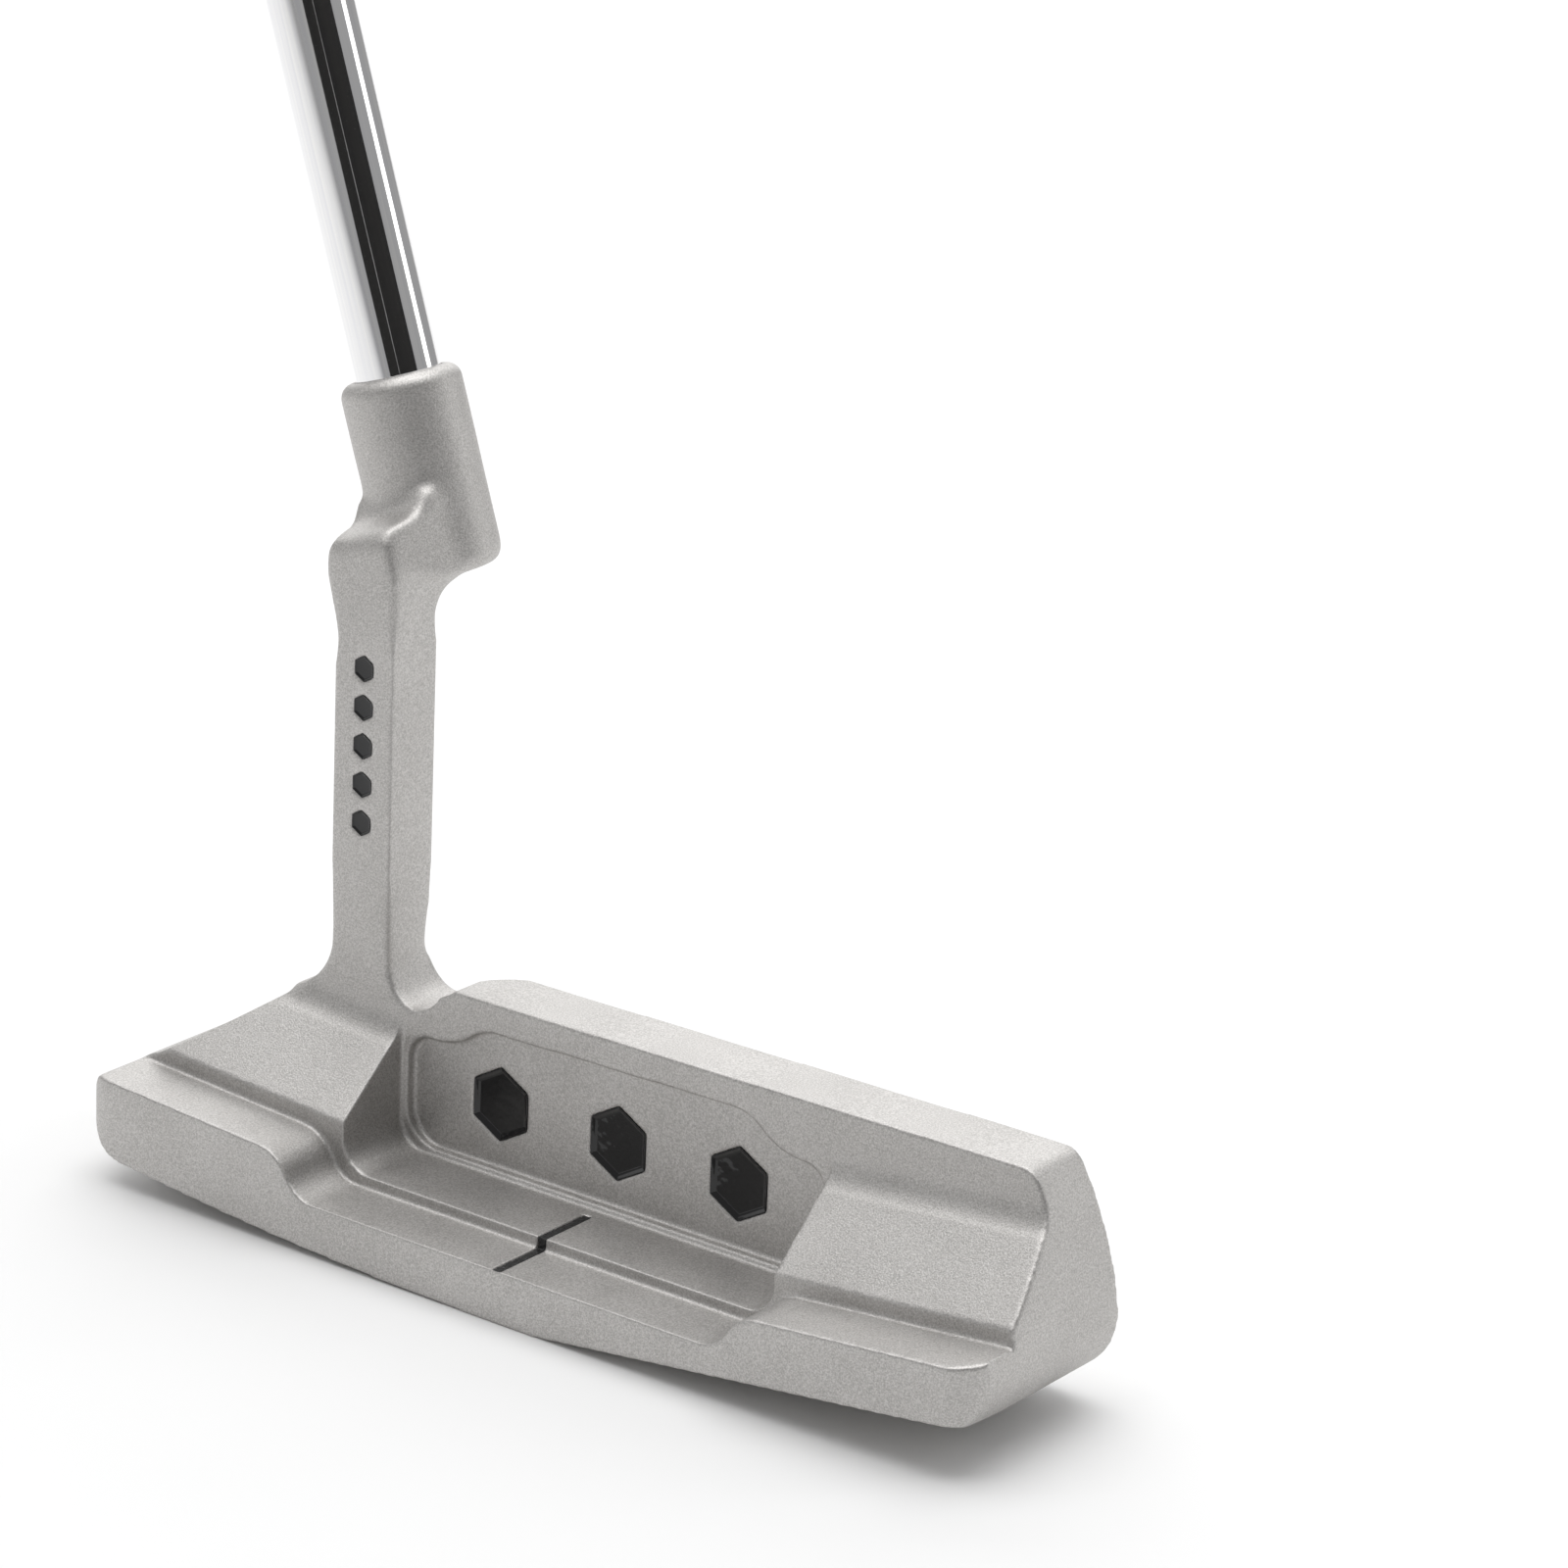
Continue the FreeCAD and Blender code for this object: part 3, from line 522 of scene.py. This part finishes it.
class Section:
    """The grip's outline across its axis: round, with a softened flat towards the toe."""

    def __init__(self, radius, flat, soft):
        self.radius, self.soft = radius, soft
        self.reach = flat - soft
        self.half = math.sqrt((radius - soft) ** 2 - self.reach ** 2)
        self.turn = math.atan2(self.half, self.reach)
        self.lengths = (self.half, self.soft * self.turn, self.radius * (math.pi - self.turn))
        self.around = 2 * sum(self.lengths)

    def at(self, way):
        """Point and outward direction at a distance round the outline, from the flat's middle."""
        way = (way + self.around / 2) % self.around - self.around / 2
        side = 1 if way >= 0 else -1
        way = abs(way)
        if way < self.lengths[0]:
            return self.reach + self.soft, side * way, 1.0, 0.0
        way -= self.lengths[0]
        if way < self.lengths[1]:
            a = way / self.soft
            return (self.reach + self.soft * math.cos(a),
                    side * (self.half + self.soft * math.sin(a)),
                    math.cos(a), side * math.sin(a))
        a = self.turn + (way - self.lengths[1]) / self.radius
        return (self.radius * math.cos(a), side * self.radius * math.sin(a),
                math.cos(a), side * math.sin(a))

    def polar(self, angle):
        """Distance from the axis to the outline at an angle."""
        angle = abs(math.atan2(math.sin(angle), math.cos(angle)))
        if angle >= self.turn:
            return self.radius
        if math.tan(angle) * (self.reach + self.soft) <= self.half:
            return (self.reach + self.soft) / math.cos(angle)
        along = self.reach * math.cos(angle) + self.half * math.sin(angle)
        across = self.reach * math.sin(angle) - self.half * math.cos(angle)
        return along + math.sqrt(self.soft ** 2 - across ** 2)


cap_low, cap_high = span("grip_end_cap")
GRIP = Section(-cap_low.x, cap_high.x, 7.0)
TOP = cap_high.z
SKIN_LOW, SKIN_HIGH = (corner.z for corner in span("grip_skin"))
SKIN_WALL = 1.7
COLUMNS = 40            # of hexagons round the grip
CELL = 2.94             # hexagon's height along the grip
RELIEF = 0.26           # from the bottom of the joints to the cells' tops
GROOVE = 0.07           # half the width of a joint's flat bottom
SLOPE = 0.19            # width of a cell's sloping side
SHOULDER = 0.15         # width of the nearly flat ring inside that
CROWN = 0.02            # rise of that ring
DOME_EDGE, DOME_RISE = 0.5, 0.15
WHOLE_CELL = 3.2        # smallest area of a whole cell's top

# Outlines of the dark bands, millimetres below the club's top.
STRIPE = [(7.3, 122), (16.1, 107), (18.1, 111), (18.1, 113), (16.1, 115), (12.1, 124.5),
          (12.1, 224.5), (16.1, 234), (18.1, 236), (18.1, 238.2), (16.1, 240.2), (7.3, 227.9)]
PANEL = [(-30, 252), (-2, 252), (0, 248), (0, 222.5), (5.4, 215.5), (5.4, 129), (0, 122),
         (0, 24), (-2, 20), (-30, 20)]


def inside(outline, across, below):
    """Whether a point lies inside a band's outline."""
    odd = False
    for (a, b), (c, d) in zip(outline, outline[1:] + outline[:1]):
        if (b > below) != (d > below) and across < (c - a) * (below - b) / (d - b) + a:
            odd = not odd
    return odd


def honeycomb(name):
    """Flat sheet of raised hexagons, x round the grip and y along it, wrapped on to the section."""
    side = GRIP.around / COLUMNS / 1.5
    rows = math.ceil((SKIN_HIGH - SKIN_LOW) / CELL) + 3
    bpy.ops.object.select_all(action="DESELECT")
    bpy.ops.mesh.primitive_circle_add(vertices=6, radius=side, fill_type="NGON",
                                      rotation=(0, 0, math.radians(30)))
    piece = settle(name)
    edit(piece)
    bpy.ops.mesh.select_all(action="SELECT")
    bpy.ops.transform.resize(value=(1, CELL / (side * math.sqrt(3)), 1),
                             center_override=(0, 0, 0))
    bpy.ops.mesh.duplicate_move(TRANSFORM_OT_translate={"value": (1.5 * side, CELL / 2, 0)})
    done()
    modify(piece, "ARRAY", count=rows, use_relative_offset=False, use_constant_offset=True,
           constant_offset_displace=(0, CELL, 0))
    modify(piece, "ARRAY", count=COLUMNS // 2, use_relative_offset=False, use_constant_offset=True,
           constant_offset_displace=(3 * side, 0, 0))
    edit(piece)
    bpy.ops.mesh.select_all(action="SELECT")
    bpy.ops.mesh.remove_doubles(threshold=0.01)
    for width, rise in ((GROOVE, 0), (SLOPE, RELIEF - CROWN), (SHOULDER, CROWN)):
        bpy.ops.mesh.inset(thickness=width, depth=rise, use_individual=True)
    done()
    for v in piece.data.vertices:
        x, y, out, across = GRIP.at(v.co.x)
        rise = v.co.z - RELIEF
        v.co = (x + rise * out, y + rise * across, SKIN_LOW - CELL + v.co.y)
    edit(piece)
    bpy.ops.mesh.select_all(action="SELECT")
    bpy.ops.mesh.remove_doubles(threshold=0.01)
    for along, keep in ((SKIN_LOW, "clear_inner"), (SKIN_HIGH, "clear_outer")):
        bpy.ops.mesh.select_all(action="SELECT")
        bpy.ops.mesh.bisect(plane_co=(0, 0, along), plane_no=(0, 0, 1), **{keep: True})
    for way in (1, -1):
        for start, end in zip(STRIPE, STRIPE[1:] + STRIPE[:1]):
            slit(piece, 1, way, start, end)
    for start, end in zip(PANEL, PANEL[1:] + PANEL[:1]):
        slit(piece, 0, 1, start, end)
    done()
    return piece


def slit(piece, axis, way, start, end):
    """Cuts the faces along one side of a band's outline, which is drawn over axis 0 or 1."""
    if min(start[0], end[0]) < -20:
        return
    (a, b), (c, d) = (start[0] * way, TOP - start[1]), (end[0] * way, TOP - end[1])
    if a == c == 0 and axis == 0 and abs(b - d) < 1:
        return
    across = Vector((d - b, a - c)).normalized()
    sheet = bmesh.from_edit_mesh(piece.data)
    for face in sheet.faces:
        centre = face.calc_center_median()
        u, t = centre[axis], centre.z
        near = (abs((u - a) * across.x + (t - b) * across.y) < 1.6
                and min(a, c) - 1.2 < u < max(a, c) + 1.2 and min(b, d) - 1.6 < t < max(b, d) + 1.6)
        face.select_set(near and (axis == 0 or centre.x > -1))
    sheet.select_flush_mode()
    bmesh.update_edit_mesh(piece.data)
    if not any(face.select for face in sheet.faces):
        return
    point = [0.0, 0.0, b]
    point[axis] = a
    normal = [0.0, 0.0, across.y]
    normal[axis] = across.x
    bpy.ops.mesh.bisect(plane_co=point, plane_no=normal)


def band_of(centre):
    """Which band of the grip a face belongs to, by its middle."""
    below = TOP - centre.z
    if inside(STRIPE, abs(centre.y), below) and centre.x > 0:
        return "stripe_left" if centre.y * LEFT > 0 else "stripe_right"
    if inside(PANEL, centre.x, below):
        return "back_panel"
    return "skin"


LEFT = 1 if span("grip_stripe_left")[1].y > 8 else -1


def part_of_sheet(sheet, name, band):
    """A copy of the sheet with only one band's faces, left open in edit mode."""
    piece = bpy.data.objects.new(name, sheet.data.copy())
    piece.data.name = name
    bpy.context.scene.collection.objects.link(piece)
    edit(piece)
    mesh = bmesh.from_edit_mesh(piece.data)
    for face in mesh.faces:
        face.select_set(band_of(face.calc_center_median()) != band)
    bmesh.update_edit_mesh(piece.data)
    bpy.ops.mesh.delete(type="FACE")
    return piece


def dome_cells(piece):
    """Gives each whole hexagon of a dark band its small dome."""
    mesh = bmesh.from_edit_mesh(piece.data)
    for face in mesh.faces:
        face.select_set(len(face.verts) == 6 and face.calc_area() > WHOLE_CELL)
    bmesh.update_edit_mesh(piece.data)
    bpy.ops.mesh.inset(thickness=DOME_EDGE, depth=DOME_RISE, use_individual=True)


def thicken(piece):
    """Closes a piece of the sheet with a smooth inner wall."""
    bpy.ops.mesh.select_all(action="SELECT")
    bpy.ops.mesh.extrude_region()
    mesh = bmesh.from_edit_mesh(piece.data)
    for v in mesh.verts:
        if v.select:
            angle = math.atan2(v.co.y, v.co.x)
            reach = GRIP.polar(angle) - SKIN_WALL
            v.co.x, v.co.y = reach * math.cos(angle), reach * math.sin(angle)
    bmesh.update_edit_mesh(piece.data)
    bpy.ops.mesh.select_all(action="SELECT")
    bpy.ops.mesh.normals_make_consistent(inside=False)
    done()


def grip_skin():
    """White skin and its three black bands, cut from one sheet."""
    sheet = honeycomb("grip_sheet")
    bands = (("grip_white", "skin", WHITE_SKIN, "white_skin", "grip_skin"),
             ("grip_band_left", "stripe_left", BLACK_SKIN, "black_skin", "grip_stripe_left"),
             ("grip_band_right", "stripe_right", BLACK_SKIN, "black_skin", "grip_stripe_right"),
             ("grip_panel", "back_panel", BLACK_SKIN, "black_skin", "grip_back_panel"))
    for name, band, material, slot, node in bands:
        piece = part_of_sheet(sheet, name, band)
        if material is BLACK_SKIN:
            dome_cells(piece)
        thicken(piece)
        piece.data.transform(Matrix.Scale(MM, 4))
        piece.data.transform(CLUB)
        smooth(piece, 60)
        finish(piece, material, slot, node)
    bpy.data.objects.remove(sheet)


VENT = 1.4              # radius
CAP_STEPS = 52
CAP_SIDE, CAP_CROWN = 0.66, 0.92    # below 1, fuller than an ellipse


def end_cap():
    """Domed rubber cap on the grip's own section, with its vent."""
    low, high = span("grip_end_cap")
    base, top, radius = SKIN_HIGH, high.z, GRIP.radius
    spring = base + 1.6
    profile = [(VENT, base), (9.0, base), (radius - 0.3, base), (radius, base + 0.3)]
    for step in range(CAP_STEPS + 1):
        turn = step / CAP_STEPS * math.radians(88)
        reach = VENT + 0.5 + (radius - VENT - 0.5) * math.cos(turn) ** CAP_SIDE
        profile.append((reach, spring + (top - spring) * math.sin(turn) ** CAP_CROWN))
    profile += [(VENT + 0.1, top - 0.15), (VENT, top - 0.5), (VENT, top - 3.5), (VENT, base)]
    piece = turned("end_cap", profile, 320)
    for v in piece.data.vertices:
        angle = math.atan2(v.co.y, v.co.x)
        shrink = GRIP.polar(angle) / GRIP.radius
        v.co.x *= shrink
        v.co.y *= shrink
    piece.data.transform(CLUB)
    smooth(piece, 50)
    finish(piece, RUBBER, "cap_rubber", "grip_end_cap")


# ---------------------------------------------------------------- studio

def area_light(name, place, aim, size, power):
    """Soft rectangular light that isn't itself in view."""
    bpy.ops.object.light_add(type="AREA", location=place)
    lamp = bpy.context.object
    lamp.name = name
    lamp.data.shape = "RECTANGLE"
    lamp.data.size, lamp.data.size_y = size
    lamp.data.energy = power
    lamp.visible_camera = False
    lamp.rotation_euler = (Vector(aim) - Vector(place)).to_track_quat("-Z", "Y").to_euler()


def studio():
    """Pale floor, even surroundings, soft lights and the cards that darken the chrome."""
    bpy.ops.object.select_all(action="DESELECT")
    bpy.ops.mesh.primitive_plane_add(size=14)
    floor = settle("studio_floor")
    paint = Paint("pale_floor")
    mist = paint.noise(60, 2.0, 0.5)
    paint.feed(Base_Color=paint.blend(mist, rgb(0.86, 0.86, 0.86), rgb(0.89, 0.89, 0.89)),
               Roughness=mist * 0.1 + 0.8)
    floor.data.materials.append(paint.material)
    world = bpy.data.worlds.new("studio")
    bpy.context.scene.world = world
    world.use_nodes = True
    backdrop = world.node_tree.nodes["Background"]
    backdrop.inputs["Color"].default_value = rgb(1.0, 1.0, 1.0)
    backdrop.inputs["Strength"].default_value = 0.36
    area_light("overhead", (-0.1, 0.1, 1.5), (0, 0.0, 0), (1.8, 1.4), 20)
    area_light("rear", (-0.95, 1.3, 0.85), (0, 0, 0.05), (2.2, 1.3), 12)
    area_light("side_left", (-1.4, -0.5, 0.6), (0, 0, 0.1), (0.5, 1.6), 1.5)
    area_light("edge_right", (0.85, 0.95, 0.55), (0, 0, 0.25), (0.35, 1.1), 2.2)
    flag("flag_front", (0.62, -1.05, 0.5), (0.55, 1.6))
    flag("flag_side", (1.14, -0.42, 0.62), (1.15, 1.0))


def flag(name, place, size):
    """Black card that only shows as the dark bands in polished metal."""
    bpy.ops.object.select_all(action="DESELECT")
    bpy.ops.mesh.primitive_plane_add(size=1, location=place)
    card = bpy.context.object
    card.scale = (size[0], size[1], 1)
    level = Vector((0, 0, place[2])) - Vector(place)
    card.rotation_euler = level.to_track_quat("-Z", "Y").to_euler()
    card = settle(name)
    cloth = Paint("black_cloth")
    weave = cloth.noise(2.0, 2.0, 0.5)
    cloth.feed(Base_Color=cloth.blend(weave, rgb(0.004, 0.004, 0.004), rgb(0.012, 0.011, 0.010)),
               Roughness=weave * 0.1 + 0.85)
    card.data.materials.append(cloth.material)
    card.visible_camera = False
    card.visible_shadow = False
    card.visible_diffuse = False


# ---------------------------------------------------------------- camera

EYE = (0.3661, -0.4762, 0.2670)
LENS = 139.71


def camera():
    """Long lens behind the head, towards its toe and a little above, turned slightly."""
    azimuth, elevation, roll = math.radians(36.0), math.radians(19.3), math.radians(2.5)
    back = Vector((math.sin(azimuth) * math.cos(elevation),
                   -math.cos(azimuth) * math.cos(elevation), math.sin(elevation)))
    level = Vector((math.cos(azimuth), math.sin(azimuth), 0))
    upright = back.cross(level)
    right = level * math.cos(roll) + upright * math.sin(roll)
    up = upright * math.cos(roll) - level * math.sin(roll)
    bpy.ops.object.camera_add()
    view = bpy.context.object
    view.name = "studio_camera"
    turned_to = Matrix((right, up, back)).transposed().to_4x4()
    view.matrix_world = Matrix.Translation(EYE) @ turned_to
    view.data.sensor_width = 36
    view.data.lens = LENS
    view.data.clip_start = 0.02
    view.data.clip_end = 50
    bpy.context.scene.camera = view


machined_head()
inlays()
neck_marks()
sight_line()
shaft()
mouth_ring()
grip_skin()
end_cap()
for node, material, slot in (("grip_core", FOAM, "foam"), ("grip_tape", TAPE, "tape"),
                             ("hosel_epoxy", EPOXY, "epoxy")):
    NODES[node].data.materials.clear()
    NODES[node].data.materials.append(material)
studio()
camera()
bpy.context.scene.view_settings.view_transform = "Standard"
